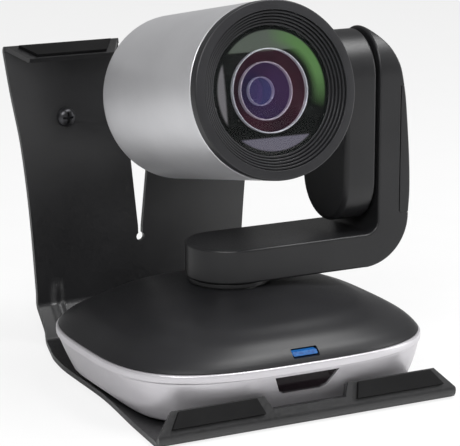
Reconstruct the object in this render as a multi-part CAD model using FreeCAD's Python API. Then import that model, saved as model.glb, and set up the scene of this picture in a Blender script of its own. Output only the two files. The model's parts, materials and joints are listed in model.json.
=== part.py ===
"""A pan-tilt-zoom conference camera standing on its bent sheet-steel bracket.

Frame: millimetres, +Z up, the lens looks along -Y, the arm stands at +X.  The pan axis is the Z axis and
Z = 0 is the underside of the bracket.  Every separate piece is written to its own STEP file.
"""
import FreeCAD, Part
import math
import os

Vec = FreeCAD.Vector
X_AXIS = Vec(1, 0, 0)
Y_AXIS = Vec(0, 1, 0)
Z_AXIS = Vec(0, 0, 1)

# ---- driving dimensions -------------------------------------------------------------------------------
SHEET = 2.0                      # bracket sheet thickness
FRONT_Y = -64.0                  # foremost line of the bracket's front fold
BACK_Y = 78.0                    # front face of the upright back plate
TOP_Z = 118.9                    # top of the back plate
LIP_ANGLE = 58.0                 # the front lip climbs backwards at this angle
WALL_SCREW_X = 32.0              # the two wall screws stand at this distance each side
WALL_SCREW_Z = 89.0

BASE_HALF = 63.6                 # half width of the base at its widest
BASE_DEPTH = 0.857               # the base's depth over its width
BASE_CENTRE = -6.6               # the base reaches further forwards than backwards of the pan axis
BASE_POWER = 3.25                # roundness of the base's rounded-square outline
SKIRT_BOTTOM = 3.0              # lower edge of the skirt
SKIRT_LEAN = 8.8                 # how far the skirt draws in towards its lower edge
BAND_BOTTOM = 18.3               # the skirt's upper band runs from here to SKIRT_TOP
SKIRT_TOP = 21.5
COVER_TOP = 37.3                 # flat top of the domed cover
WALL = 2.2                       # thickness of the base shells
FLOOR_Z = 3.0                    # underside of the base's bottom plate
PLATE_HALF = 52.6                # half width of the bottom plate

DISC_R = 15.4                    # turntable disc under the arm's foot
FOOT_Z = (39.5, 52.5)            # underside and top of the arm's foot
ARM_HALF = 16.5                  # half depth of the foot and the arm
ARM_X = (55.0, 68.5)             # inner and outer faces of the upright arm
COVER_SPLIT_X = 64.3             # parting plane between the arm housing and its side cover
ARM_END_Z = 112.0                # centre of the arm's round top end
ARM_TOP_R = 17.3
POD_X = (40.5, 54.1)             # the inner housing beside the barrel
POD_LOW_Z = 72.4                 # centre of the pod's round lower end
SKIN = 1.8                       # wall of the arm's plastic shells

TILT_Z = 108.1                   # height of the tilt axis
HEAD_TILT = 10.8                 # the lens looks up by this many degrees at rest
HEAD_R = 32.0                    # outside radius of the barrel's front and of the bezel
BARREL_BACK_R = 31.5
BARREL_Y = (-33.0, 46.5)         # barrel ends, measured along its own axis from the tilt axis
BEZEL_FRONT = -37.2              # front plane of the bezel, measured the same way
GLASS_R = 23.2

PAN_TEETH, PAN_PINION_TEETH, PAN_MODULE = 48, 12, 0.8
TILT_TEETH, TILT_PINION_TEETH, TILT_MODULE = 36, 12, 0.75
RUN = 0.05                       # radial clearance of a running fit


# ---- helpers ------------------------------------------------------------------------------------------
def save(node, shape):
    """Write one sub-part to its STEP file."""
    shape.exportStep("parts/%s.step" % node)


def cylinder(radius, start, end):
    """A solid cylinder between two points."""
    along = end.sub(start)
    return Part.makeCylinder(radius, along.Length, start, along)


def cyl_z(radius, x, y, z0, z1):
    return cylinder(radius, Vec(x, y, z0), Vec(x, y, z1))


def tube_z(outer, inner, x, y, z0, z1):
    return cyl_z(outer, x, y, z0, z1).cut(cyl_z(inner, x, y, z0 - 1, z1 + 1))


def tube_x(outer, inner, x0, x1, y, z):
    return cylinder(outer, Vec(x0, y, z), Vec(x1, y, z)).cut(cylinder(inner, Vec(x0 - 1, y, z), Vec(x1 + 1, y, z)))


def box(x0, x1, y0, y1, z0, z1):
    return Part.makeBox(x1 - x0, y1 - y0, z1 - z0, Vec(x0, y0, z0))


def polygon(points):
    """A flat face inside a closed run of points."""
    return Part.Face(Part.makePolygon(points + points[:1]))


def group(shapes):
    return Part.makeCompound(shapes)


def mirrored(shape):
    """The shape and its copy on the other side of the X = 0 plane."""
    return group([shape, shape.mirror(Vec(0, 0, 0), X_AXIS)])


def curve_through(points):
    curve = Part.BSplineCurve()
    curve.interpolate(points)
    return curve.toShape()


def squircle(half, power, z, centre=BASE_CENTRE, depth=BASE_DEPTH, count=32):
    """A closed rounded-rectangle wire (superellipse) at height z: half wide in X, half * depth in Y."""
    points = []
    for i in range(count):
        angle = 2 * math.pi * i / count
        c, s = math.cos(angle), math.sin(angle)
        reach = half * (abs(c) ** power + abs(s) ** power) ** (-1 / power)
        points.append(Vec(reach * c, centre + reach * s * depth, z))
    curve = Part.BSplineCurve()
    curve.interpolate(points, PeriodicFlag=True)
    return Part.Wire(curve.toShape())


def squircle_loft(sections):
    """A solid through (half width, power, height) sections, each with its own centre and depth if given."""
    return Part.makeLoft([squircle(*section) for section in sections], True, False)


def revolve_y(points):
    """Revolve a closed (radius, y) outline about the Y axis."""
    face = polygon([Vec(r, y, 0) for r, y in points])
    return face.revolve(Vec(0, 0, 0), Y_AXIS, 360)


def bent_strip(path, radii, thickness, half_width):
    """A bent sheet: a (y, z) centre line with a bend radius at each inner point, extruded across X."""
    points = [Vec(0, y, z) for y, z in path]
    sides = {1: [], -1: []}
    for i, point in enumerate(points):
        before = point.sub(points[i - 1]).normalize() if i else None
        after = points[i + 1].sub(point).normalize() if i + 1 < len(points) else None
        heading = before or after
        if before is None or after is None:
            across = X_AXIS.cross(heading)
            for side in sides:
                sides[side].append([point.add(across * (side * thickness / 2))])
            continue
        turn = before.getAngle(after)
        left = 1 if before.cross(after).x > 0 else -1
        reach = radii[i - 1] * math.tan(turn / 2)
        start = point.sub(before * reach)
        end = point.add(after * reach)
        centre = start.add(X_AXIS.cross(before) * (left * radii[i - 1]))
        middle = point.sub(centre).normalize()
        for side in sides:
            radius = radii[i - 1] - side * left * thickness / 2
            spokes = [start.sub(centre).normalize(), middle, end.sub(centre).normalize()]
            sides[side].append([centre.add(spoke * radius) for spoke in spokes])
    edges = side_edges(sides[1]) + side_edges([run[::-1] for run in sides[-1][::-1]])
    corner = [sides[1][-1][-1], sides[-1][-1][-1], sides[-1][0][0], sides[1][0][0]]
    edges.insert(len(edges) // 2, Part.makeLine(corner[0], corner[1]))
    edges.append(Part.makeLine(corner[2], corner[3]))
    face = Part.Face(Part.Wire(Part.__sortEdges__(edges)))
    face.translate(Vec(-half_width, 0, 0))
    return face.extrude(Vec(2 * half_width, 0, 0))


def side_edges(runs):
    """Lines between the runs, and an arc through each run of three points."""
    edges = []
    for i, run in enumerate(runs):
        if len(run) == 3:
            edges.append(Part.Arc(*run).toShape())
        if i + 1 < len(runs):
            edges.append(Part.makeLine(run[-1], runs[i + 1][0]))
    return edges


def gear(teeth, module, thickness, bore, turn=0.0):
    """A spur gear about +Z with short straight-flanked teeth, its first tooth turned by turn degrees."""
    pitch_r = teeth * module / 2
    levels = [(pitch_r - 0.95 * module, 0.36), (pitch_r, 0.23), (pitch_r + 0.75 * module, 0.12)]
    step = 2 * math.pi / teeth
    points = []
    for i in range(teeth):
        middle = i * step + math.radians(turn)
        flank = [(r, middle - part * step) for r, part in levels]
        flank += [(r, middle + part * step) for r, part in reversed(levels)]
        points += [Vec(r * math.cos(a), r * math.sin(a), 0) for r, a in flank]
    wheel = polygon(points).extrude(Vec(0, 0, thickness))
    return wheel.cut(cyl_z(bore, 0, 0, -1, thickness + 1))


def countersunk_screw(x, y, z, length, shank=1.5, head=2.8):
    """A flat-headed screw that points up, its head flush with height z."""
    cone = Part.makeCone(head, shank, head - shank, Vec(x, y, z))
    screw = cone.fuse(cyl_z(shank, x, y, z, z + length))
    return screw.cut(cross_recess(x, y, z, 0.9))


def cross_recess(x, y, z, depth):
    """The cutter of a cross recess that opens downwards at z."""
    bars = box(x - 1.3, x + 1.3, y - 0.3, y + 0.3, z - 1, z + depth)
    return bars.fuse(box(x - 0.3, x + 0.3, y - 1.3, y + 1.3, z - 1, z + depth))


# ---- bracket ------------------------------------------------------------------------------------------
def lip_direction(angle):
    return Vec(0, math.cos(math.radians(angle)), math.sin(math.radians(angle)))


FRONT_BEND_R = 2.0
FRONT_VERTEX = Vec(0, FRONT_Y + 1 + FRONT_BEND_R - FRONT_BEND_R * math.tan(math.radians((180 - LIP_ANGLE) / 2)), 1)
FRONT_LIP = lip_direction(LIP_ANGLE)
FRONT_LIP_LENGTH = 11.6          # from the vertex of the bend to the lip's edge
TOP_LIP_DROP = 26.6              # the top lips slope down forwards at this angle
TOP_VERTEX = Vec(0, BACK_Y + 1, TOP_Z)
TOP_LIP = Vec(0, -math.cos(math.radians(TOP_LIP_DROP)), -math.sin(math.radians(TOP_LIP_DROP)))
TOP_LIP_LENGTH = 11.2
SLANT = 12.0                     # the 45 degree run between the bottom and the back


def back_outline():
    """The half outline of the back plate, cut by its waisted edge."""
    edge = [Vec(45.5, 0, -2), Vec(45.6, 0, 18), Vec(47.0, 0, 44), Vec(50.0, 0, 76), Vec(55.6, 0, 104), Vec(57.6, 0, 122)]
    outline = [curve_through(edge), Part.makeLine(edge[-1], Vec(80, 0, 122)), Part.makeLine(Vec(80, 0, 122), Vec(80, 0, -2))]
    outline.append(Part.makeLine(Vec(80, 0, -2), edge[0]))
    face = Part.Face(Part.Wire(outline))
    face.translate(Vec(0, BACK_Y - SLANT / 2 - 1, 0))
    return face.extrude(Vec(0, 40, 0))


def bottom_outline():
    """The cutter that waists the bottom plate and leaves its corners rounded at the rear."""
    rear = BACK_Y - SLANT / 2 - 1
    edge = [Vec(45.5, rear, -2), Vec(48.8, 60, -2), Vec(53.6, 42, -2), Vec(54.3, 4, -2)]
    edge += [Vec(56.4, -24, -2), Vec(60.4, -54, -2), Vec(61.0, -70, -2)]
    outline = [curve_through(edge), Part.makeLine(edge[-1], Vec(80, -70, -2))]
    outline += [Part.makeLine(Vec(80, -70, -2), Vec(80, rear, -2)), Part.makeLine(Vec(80, rear, -2), edge[0])]
    return Part.Face(Part.Wire(outline)).extrude(Vec(0, 0, 30))


def lip_end_cutters():
    """The cutters that slant the ends of the front lip and of one top lip."""
    front = polygon([Vec(60.5, -72, 3.6), Vec(52.0, -72, 12.5), Vec(80, -72, 12.5), Vec(80, -72, 3.6)])
    outer = polygon([Vec(57.7, BACK_Y - 1, 106), Vec(49.5, BACK_Y - 12, 106), Vec(80, BACK_Y - 12, 106), Vec(80, BACK_Y - 1, 106)])
    inner = polygon([Vec(9.3, BACK_Y - 1, 106), Vec(16.4, BACK_Y - 12, 106), Vec(0, BACK_Y - 12, 106), Vec(0, BACK_Y - 1, 106)])
    return [front.extrude(Vec(0, 20, 0)), outer.extrude(Vec(0, 0, 20)), inner.extrude(Vec(0, 0, 20))]


def rib_groove():
    """One pressed stiffening groove across the bends between the back and the bottom."""
    path = [(64.0, SHEET), (BACK_Y - SLANT + 0.8, SHEET), (BACK_Y, SHEET + SLANT - 0.8), (BACK_Y, 20.0)]
    groove = bent_strip(path, [2.0, 2.0], 1.6, 2.4)
    groove = groove.fuse(cylinder(2.4, Vec(0, BACK_Y - 1, 20), Vec(0, BACK_Y + 0.8, 20)))
    groove.translate(Vec(37.0, 0, 0))
    return groove


def wall_bracket():
    """The one-piece bent strip: front lip, bottom, slanted rear, back plate and two top lips."""
    lip_edge = FRONT_VERTEX.add(FRONT_LIP * FRONT_LIP_LENGTH)
    top_edge = TOP_VERTEX.add(TOP_LIP * TOP_LIP_LENGTH)
    path = [(lip_edge.y, lip_edge.z), (FRONT_VERTEX.y, 1), (BACK_Y + 1 - SLANT, 1), (BACK_Y + 1, 1 + SLANT)]
    path += [(TOP_VERTEX.y, TOP_VERTEX.z), (top_edge.y, top_edge.z)]
    bracket = bent_strip(path, [FRONT_BEND_R, 4.0, 4.0, 1.8], SHEET, 66)
    cutters = [back_outline(), bottom_outline(), rib_groove()] + lip_end_cutters()
    for cutter in cutters:
        bracket = bracket.cut(cutter).cut(cutter.mirror(Vec(0, 0, 0), X_AXIS))
    slit = polygon([Vec(-0.9, 60, 37), Vec(0.9, 60, 37), Vec(1.0, 60, 41), Vec(9.4, 60, 125), Vec(-9.4, 60, 125),
                    Vec(-1.0, 60, 41)])
    bracket = bracket.cut(slit.extrude(Vec(0, 30, 0)))
    bracket = bracket.cut(cylinder(1.75, Vec(0, 60, 36.7), Vec(0, 90, 36.7)))
    window_gap = polygon([Vec(-15, -75, 6.9), Vec(15, -75, 6.9), Vec(18.2, -75, 13), Vec(-18.2, -75, 13)])
    bracket = bracket.cut(window_gap.extrude(Vec(0, 30, 0)))
    for side in (-1, 1):
        hole = cylinder(2.1, Vec(side * WALL_SCREW_X, 70, WALL_SCREW_Z), Vec(side * WALL_SCREW_X, 90, WALL_SCREW_Z))
        bracket = bracket.cut(hole)
    return bracket.cut(Part.makeCone(4.9, 3.4, 1.5, Vec(0, 0, 0))).cut(cyl_z(3.4, 0, 0, 1, 4))


def pad_on(vertex, along, up, corners, height):
    """A flat pad on a lip: corners are (x, distance from the bend's vertex) pairs."""
    lift = up * (SHEET / 2)
    face = polygon([vertex.add(along * s).add(lift).add(Vec(x, 0, 0)) for x, s in corners])
    return face.extrude(up * height)


def front_lip_pads():
    up = Vec(0, -FRONT_LIP.z, FRONT_LIP.y)
    corners = [(18.6, 5.0), (55.0, 5.0), (51.0, 10.9), (20.6, 10.9)]
    return mirrored(pad_on(FRONT_VERTEX, FRONT_LIP, up, corners, 1.3))


def top_lip_pads():
    up = Vec(0, TOP_LIP.z, -TOP_LIP.y)
    corners = [(13.5, 3.6), (52.3, 3.6), (47.0, 10.4), (18.0, 10.4)]
    return mirrored(pad_on(TOP_VERTEX, TOP_LIP, up, corners, 1.3))


def wall_screws():
    """Two pan-headed screws through the back plate."""
    screws = []
    for side in (-1, 1):
        x, z = side * WALL_SCREW_X, WALL_SCREW_Z
        head = Part.makeSphere(6.2, Vec(x, BACK_Y + 3.6, z)).common(cylinder(3.7, Vec(x, BACK_Y - 2.8, z), Vec(x, BACK_Y, z)))
        neck = cylinder(1.8, Vec(x, BACK_Y, z), Vec(x, BACK_Y + SHEET + 0.3, z))
        shank = cylinder(2.0, Vec(x, BACK_Y + SHEET + 0.2, z), Vec(x, BACK_Y + 22, z))
        tip = Part.makeCone(2.0, 0.4, 4.0, Vec(x, BACK_Y + 22, z), Y_AXIS)
        cross = box(x - 2.1, x + 2.1, BACK_Y - 3, BACK_Y - 1.3, z - 0.45, z + 0.45)
        cross = cross.fuse(box(x - 0.45, x + 0.45, BACK_Y - 3, BACK_Y - 1.3, z - 2.1, z + 2.1))
        screws.append(head.fuse([neck, shank, tip]).cut(cross))
    return group(screws)


# ---- base ---------------------------------------------------------------------------------------------
BOARD_SPOTS = [(24, 16), (-24, 16), (-24, -32), (24, -32)]
FOOT_SPOTS = [(33, 22), (-33, 22), (-33, -36), (33, -36)]
POST_SPOTS = [(30, 4), (-30, 4), (-30, -20), (30, -20)]
BOSS_SPOTS = [(41, 23), (-41, 23), (-41, -37), (41, -37)]
BOARD_Z = (7.0, 8.6)
CHASSIS_Z = (26.5, 28.5)
PAN_MOTOR = (0.0, -24.0)         # the pan motor's axis, in front of the pan axis
PORT_Y = 39.4                    # rear face of the port panel
IR_WINDOW = [(-12.6, 17.2), (12.6, 17.2), (9.4, 11.2), (7.4, 10.0), (-7.4, 10.0), (-9.4, 11.2)]


def skirt_solid(inset):
    """The outer form of the silver skirt, drawn in by inset: it leans in towards its lower edge."""
    sections = []
    for z in (SKIRT_BOTTOM, 5.5, 9.0, 13.0, BAND_BOTTOM):
        lean = SKIRT_LEAN * ((BAND_BOTTOM - z) / (BAND_BOTTOM - SKIRT_BOTTOM)) ** 0.95
        sections.append((BASE_HALF - 0.55 - lean - inset, BASE_POWER + 0.22 * lean, z))
    return squircle_loft(sections)


def prism_y(points, y0, y1):
    """A prism along Y over an (x, z) outline."""
    return polygon([Vec(x, y0, z) for x, z in points]).extrude(Vec(0, y1 - y0, 0))


def base_skirt():
    """The silver ring around the base, with its upper band, the window recess and the rear port opening."""
    outline = (BASE_HALF, BASE_POWER)
    band = squircle_loft([outline + (BAND_BOTTOM,), outline + (SKIRT_TOP - 0.5,), (BASE_HALF - 0.5, BASE_POWER, SKIRT_TOP)])
    inner = (BASE_HALF - 3.2, BASE_POWER)
    hollow = squircle_loft([inner + (BAND_BOTTOM - 0.01,), inner + (SKIRT_TOP + 1,)])
    skirt = skirt_solid(0).fuse(band).cut(skirt_solid(WALL)).cut(hollow)
    floor = (PLATE_HALF + 0.3, BASE_POWER)
    skirt = skirt.cut(squircle_loft([floor + (0,), floor + (6,)]))
    window = [(x * 1.04, z + (0.25 if z > 12 else -0.25)) for x, z in IR_WINDOW]
    skirt = skirt.cut(prism_y(window, -70, -40))
    return skirt.cut(box(-31, 31, 30, 60, 5.0, 17.8))


def cover_form(inset, top):
    """The outer form of the domed cover: its sections turn round, and centre on the pan axis, towards the top."""
    sections = []
    for share, z in ((1.0, 21.6), (0.985, 23.3), (0.955, 25.4), (0.9, 27.8), (0.8, 30.7), (0.68, 33.0), (0.54, 35.0),
                     (0.38, 36.5)):
        centre, depth = cover_plan(share)
        half = (BASE_HALF - 0.9) * share
        sections.append((half - inset, 2 + (BASE_POWER - 2) * share ** 2, z - inset * 0.9, centre, depth))
    sections.append((0.262 * BASE_HALF, 2.0, top - inset * 0.9, 0, 1))
    return squircle_loft(sections)


def cover_plan(share):
    """The centre and the depth of the cover's section whose half width is this share of the base's."""
    spread = min(1, max(0, (share - 0.26) / 0.64))
    return BASE_CENTRE * spread, 1 + (BASE_DEPTH - 1) * spread


def light_slot(grow, y0, y1):
    """The bar-shaped prism of the status light, grown all round."""
    return box(-5.0 - grow, 5.0 + grow, y0, y1, 23.5 - grow, 25.7 + grow)


def cover_rim(outer, inner, low, high):
    """A rounded-square ring, given by how far its faces stand inside the base's outline."""
    outside = squircle_loft([(BASE_HALF - outer, BASE_POWER, low), (BASE_HALF - outer, BASE_POWER, high)])
    inside = squircle_loft([(BASE_HALF - inner, BASE_POWER, low - 1), (BASE_HALF - inner, BASE_POWER, high + 1)])
    return outside.cut(inside)


def base_top_cover():
    """The black domed cover with its central opening, its locating rim and the status light's slot."""
    cover = cover_form(0, COVER_TOP).cut(cover_form(WALL, COVER_TOP))
    below = box(-80, 80, -80, 80, 0, 21.6)
    cover = cover.fuse(cover_rim(3.5, 5.3, 17.5, 24.0).common(cover_form(0.2, COVER_TOP).fuse(below)))
    room = cover_form(0.5, COVER_TOP).fuse(below)
    for x, y in BOSS_SPOTS:
        boss = cyl_z(3.2, x, y, FLOOR_Z + 2, 35).common(room)
        cover = cover.fuse(boss).cut(cyl_z(1.5, x, y, 0, FLOOR_Z + 9.0))
    cover = cover.cut(cyl_z(14.3, 0, 0, 10, 60))
    return cover.cut(light_slot(0.4, -75, -50))


def status_light():
    """The light pipe: a bar whose face follows the cover, a little below its surface."""
    front = light_slot(0, -75, -45).common(cover_form(0.5, COVER_TOP))
    behind = squircle_loft([(BASE_HALF - 5.5, BASE_POWER, 10), (BASE_HALF - 5.5, BASE_POWER, 30)])
    return front.cut(cover_form(3.6, COVER_TOP)).cut(behind)


def base_bottom_plate():
    plate = squircle_loft([(PLATE_HALF, BASE_POWER, FLOOR_Z), (PLATE_HALF, BASE_POWER, FLOOR_Z + 2)])
    for x, y in BOARD_SPOTS:
        plate = plate.fuse(cyl_z(3.2, x, y, FLOOR_Z, BOARD_Z[0])).cut(cyl_z(1.2, x, y, 5, 8))
    for x, y in BOSS_SPOTS:
        plate = plate.cut(Part.makeCone(2.8, 1.5, 1.3, Vec(x, y, FLOOR_Z))).cut(cyl_z(1.5, x, y, 0, 8))
    return plate.cut(cyl_z(6.0, 0, 0, 0, 8))


def rubber_feet():
    """Four thin rubber discs between the base and the bracket."""
    return group([cyl_z(6.0, x, y, SHEET, FLOOR_Z) for x, y in FOOT_SPOTS])


def base_screws():
    """Four countersunk screws through the bottom plate into the cover's bosses."""
    return group([countersunk_screw(x, y, FLOOR_Z, 9.0) for x, y in BOSS_SPOTS])


def tripod_screw():
    """The low countersunk 1/4 inch screw that holds the camera down on the bracket, with two spanner holes."""
    screw = Part.makeCone(4.9, 3.4, 1.5, Vec(0, 0, 0)).fuse(cyl_z(3.1, 0, 0, 1.4, 9.5))
    for side in (-1, 1):
        screw = screw.cut(cyl_z(0.7, side * 2.8, 0, -1, 1.1))
    return screw


def tripod_insert():
    """The brass 1/4 inch insert at the centre of the bottom plate."""
    body = cyl_z(6.0, 0, 0, FLOOR_Z, 13).fuse(cyl_z(7.6, 0, 0, FLOOR_Z + 2, FLOOR_Z + 3.4))
    return body.cut(cyl_z(3.1, 0, 0, 0, 11))


def main_board():
    board = squircle_loft([(46, 4, BOARD_Z[0]), (46, 4, BOARD_Z[1])])
    board = board.cut(cyl_z(9, 0, 0, 0, 20)).cut(box(-13, 13, -37, -12, 0, 20))
    for x, y in POST_SPOTS + BOSS_SPOTS:
        board = board.cut(cyl_z(3.6, x, y, 0, 20))
    for x, y in BOARD_SPOTS:
        board = board.cut(cyl_z(1.2, x, y, 0, 20))
    return board


def board_screws():
    return group([cyl_z(1.2, x, y, 5.2, BOARD_Z[1]).fuse(cyl_z(2.3, x, y, BOARD_Z[1], 9.9)) for x, y in BOARD_SPOTS])


def board_chips():
    """The processor with its heat spreader, and memory, on the main board."""
    chips = [box(-38, -22, -14, -1, BOARD_Z[1], 10.6), box(16, 26, -10, 0, BOARD_Z[1], 10.0)]
    chips += [box(-20, -12, 4, 14, BOARD_Z[1], 10.2), box(34, 42, -26, -14, BOARD_Z[1], 10.2)]
    return group(chips)


def ir_window():
    """The dark window in the skirt's front: its face follows the skirt, a little below its surface."""
    return prism_y(IR_WINDOW, -70, -45).common(skirt_solid(0.9)).cut(skirt_solid(2.6))


def ir_receiver():
    dome = Part.makeSphere(2.6, Vec(0, -44.0, 13.5)).common(box(-3, 3, -48, -44.0, 9, 18))
    return box(-3.2, 3.2, -44.0, -39.6, BOARD_Z[1], 17.0).fuse(dome)


def rear_port_panel():
    """The black panel behind the skirt's rear opening, with holes for the sockets and a lock slot."""
    y = PORT_Y
    tray = box(-30.6, 30.6, y - 1.7, 60, 5.4, 17.4).cut(box(-29.4, 29.4, y, 61, 6.6, 16.9))
    panel = tray.common(skirt_solid(0.5))
    panel = panel.cut(box(-22.1, -9.9, y - 5, y + 1, 8.5, 16.8))
    panel = panel.cut(cylinder(3.6, Vec(8, y - 5, 12.4), Vec(8, y + 5, 12.4)))
    return panel.cut(box(20.0, 27.2, y - 5, y + 1, 10.8, 13.8))


def usb_socket():
    y = PORT_Y
    body = box(-22, -10, y - 15, y + 0.5, BOARD_Z[1], 16.7).cut(box(-20.9, -11.1, y - 9, y + 5, 9.7, 15.6))
    return body.fuse(box(-19.2, -12.8, y - 10, y - 0.9, 11.6, 13.7))


def dc_socket():
    y = PORT_Y
    body = box(3.2, 12.8, y - 13, y - 1.7, BOARD_Z[1], 17.0)
    body = body.fuse(cylinder(3.5, Vec(8, y - 1.7, 12.4), Vec(8, y + 0.3, 12.4)))
    body = body.cut(cylinder(2.8, Vec(8, y - 10, 12.4), Vec(8, y + 5, 12.4)))
    return body.fuse(cylinder(1.0, Vec(8, y - 10.1, 12.4), Vec(8, y - 0.9, 12.4)))


def pan_chassis():
    """The metal plate that carries the pan bearing."""
    plate = box(-34, 34, -30, 20, *CHASSIS_Z).fuse(cyl_z(13.9, 0, 0, CHASSIS_Z[0], 36.4))
    plate = plate.cut(cyl_z(12.0, 0, 0, 20, 40))
    for x, y in POST_SPOTS:
        plate = plate.cut(cyl_z(1.5, x, y, 20, 40))
    return plate


def chassis_posts():
    """Four pillars between the bottom plate and the chassis, with a stud at the top of each."""
    return group([cyl_z(3.0, x, y, FLOOR_Z + 2, CHASSIS_Z[0]).fuse(cyl_z(1.5, x, y, CHASSIS_Z[0] - 1, CHASSIS_Z[1] + 1))
                  for x, y in POST_SPOTS])


def pan_motor():
    x, y = PAN_MOTOR
    can = cyl_z(10, x, y, FLOOR_Z + 2, 18.4).fuse(box(x - 12, x + 12, y - 4, y + 4, 17.2, 18.4))
    return can.fuse(cyl_z(1.5, x, y, 18, 25.2))


def pan_pinion():
    x, y = PAN_MOTOR
    pinion = gear(PAN_PINION_TEETH, PAN_MODULE, 4.5, 1.5 + RUN, 90 + 180 / PAN_PINION_TEETH)
    pinion.translate(Vec(x, y, 20.5))
    return pinion


def pan_bearing():
    return tube_z(12.0, 8.0 + RUN, 0, 0, CHASSIS_Z[0], FOOT_Z[0] - 2.1)


# ---- turntable and arm --------------------------------------------------------------------------------
def pan_spindle():
    """The hollow spindle under the turntable; the cables pass through it."""
    return tube_z(8.0, 5.0, 0, 0, 19.0, FOOT_Z[0] - 1.9)


def pan_gear():
    wheel = gear(PAN_TEETH, PAN_MODULE, 3.5, 8.0, -90)
    wheel.translate(Vec(0, 0, 21.0))
    return wheel


def turntable_disc():
    disc = cyl_z(DISC_R, 0, 0, FOOT_Z[0] - 1.9, FOOT_Z[0])
    return disc.cut(cyl_z(5.0, 0, 0, 30, 50))


def l_outline(inset):
    """The X-Z face of the arm's L: the foot, a large outer corner, the leaning outer face and the upright."""
    low, high = FOOT_Z[0] + inset, FOOT_Z[1] - inset
    inner, outer = ARM_X[0] + inset, ARM_X[1] - inset
    top = ARM_END_Z + ARM_TOP_R + 5
    corner = 19.0 - inset
    fillet = 5.2 + inset
    at = [Vec(-30, 0, low), Vec(outer - corner, 0, low), Vec(outer, 0, low + corner), Vec(outer - 2.3, 0, ARM_END_Z - 6)]
    bend = [Vec(outer - corner * 0.293, 0, low + corner * 0.293), Vec(inner - fillet * 0.293, 0, high + fillet * 0.293)]
    shoulder = Vec(outer - 7.0, 0, top)
    edges = [Part.makeLine(at[0], at[1]), Part.Arc(at[1], bend[0], at[2]).toShape(), Part.makeLine(at[2], at[3])]
    edges += [Part.Arc(at[3], Vec(outer - 3.9, 0, ARM_END_Z + 5), shoulder).toShape()]
    inside = [Vec(inner, 0, top), Vec(inner, 0, high + fillet), Vec(inner - fillet, 0, high), Vec(-30, 0, high)]
    edges += [Part.makeLine(shoulder, inside[0]), Part.makeLine(inside[0], inside[1])]
    edges += [Part.Arc(inside[1], bend[1], inside[2]).toShape(), Part.makeLine(inside[2], inside[3])]
    edges += [Part.makeLine(inside[3], at[0])]
    return Part.Face(Part.Wire(edges))


def stadium_x(half, low, high, x0, x1):
    """A prism along X over a Y-Z outline with round ends centred at heights low and high."""
    lower = cylinder(half, Vec(x0, 0, low), Vec(x1, 0, low))
    upper = cylinder(half, Vec(x0, 0, high), Vec(x1, 0, high))
    return lower.fuse([upper, box(x0, x1, -half, half, low, high)]).removeSplitter()


def l_solid(inset):
    """The arm's L as a solid, drawn in by inset on every side."""
    half = ARM_HALF - inset
    slab = l_outline(inset)
    slab.translate(Vec(0, -30, 0))
    slab = slab.extrude(Vec(0, 60, 0))
    plan = cyl_z(half, 0, 0, 30, 140).fuse(box(0, 80, -half, half, 30, 140))
    side = box(-30, 80, -half, half, 30, ARM_END_Z)
    side = side.fuse(cylinder(ARM_TOP_R - inset, Vec(-30, 0, ARM_END_Z), Vec(80, 0, ARM_END_Z)))
    side = side.common(box(-30, 80, -half, half, 30, 140))
    return slab.common(plan).common(side).removeSplitter()


def arm_shells():
    """The arm's L, hollow, parted into the housing and the side cover."""
    shell = l_solid(0).cut(l_solid(SKIN))
    shell = shell.cut(cyl_z(5.0, 0, 0, 30, 45))
    shell = shell.cut(cylinder(9.0, Vec(50, 0, TILT_Z), Vec(60, 0, TILT_Z)))
    housing = shell.common(box(-30, COVER_SPLIT_X - 0.12, -30, 30, 30, 140))
    cover = shell.common(box(COVER_SPLIT_X + 0.12, 80, -30, 30, 30, 140))
    return housing, cover


def pod_shell():
    """The inner housing beside the barrel: a round-ended box with a neck that meets the arm."""
    outer = stadium_x(ARM_HALF, POD_LOW_Z, ARM_END_Z, POD_X[0], POD_X[1])
    outer = outer.makeFillet(1.6, [edge for edge in outer.Edges if edge.BoundBox.XMax < POD_X[0] + 0.1])
    outer = outer.fuse(stadium_x(ARM_HALF - 2.2, POD_LOW_Z, ARM_END_Z - 1.5, POD_X[1] - 1, ARM_X[0] - 0.02))
    inner = stadium_x(ARM_HALF - 2.4 - SKIN, POD_LOW_Z, ARM_END_Z - 1.5, POD_X[0] + SKIN, ARM_X[0] + 1)
    wide = stadium_x(ARM_HALF - SKIN, POD_LOW_Z, ARM_END_Z, POD_X[0] + SKIN, POD_X[1] - SKIN)
    shell = outer.cut(inner).cut(wide)
    return shell.cut(cylinder(8.5, Vec(30, 0, TILT_Z), Vec(45, 0, TILT_Z)))


def arm_frame():
    """The steel angle inside the arm that carries the head's weight to the turntable."""
    foot = box(-11, 60.2, -9, 9, FOOT_Z[0] + SKIN, FOOT_Z[0] + SKIN + 1.6)
    upright = box(58.6, 60.2, -9, 9, FOOT_Z[0] + SKIN, 120)
    frame = foot.fuse(upright).cut(cyl_z(5.0, 0, 0, 30, 60))
    return frame.common(l_solid(SKIN + 0.2).fuse(foot.common(box(-12, 45, -10, 10, 30, 50))))


def arm_screws():
    """Screws that hold the turntable disc, the arm's frame and its foot together."""
    screws = []
    for angle in (45, 135, 225, 315):
        x, y = 10.2 * math.cos(math.radians(angle)), 10.2 * math.sin(math.radians(angle))
        screws.append(cyl_z(2.2, x, y, FOOT_Z[0] + SKIN + 1.6, FOOT_Z[0] + SKIN + 3.2).fuse(
            cyl_z(1.2, x, y, FOOT_Z[0] - 1.2, FOOT_Z[0] + SKIN + 2)))
    return screws


# ---- tilt drive ---------------------------------------------------------------------------------------
TILT_DRIVE_Z = TILT_Z - (TILT_TEETH + TILT_PINION_TEETH) * TILT_MODULE / 2


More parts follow.
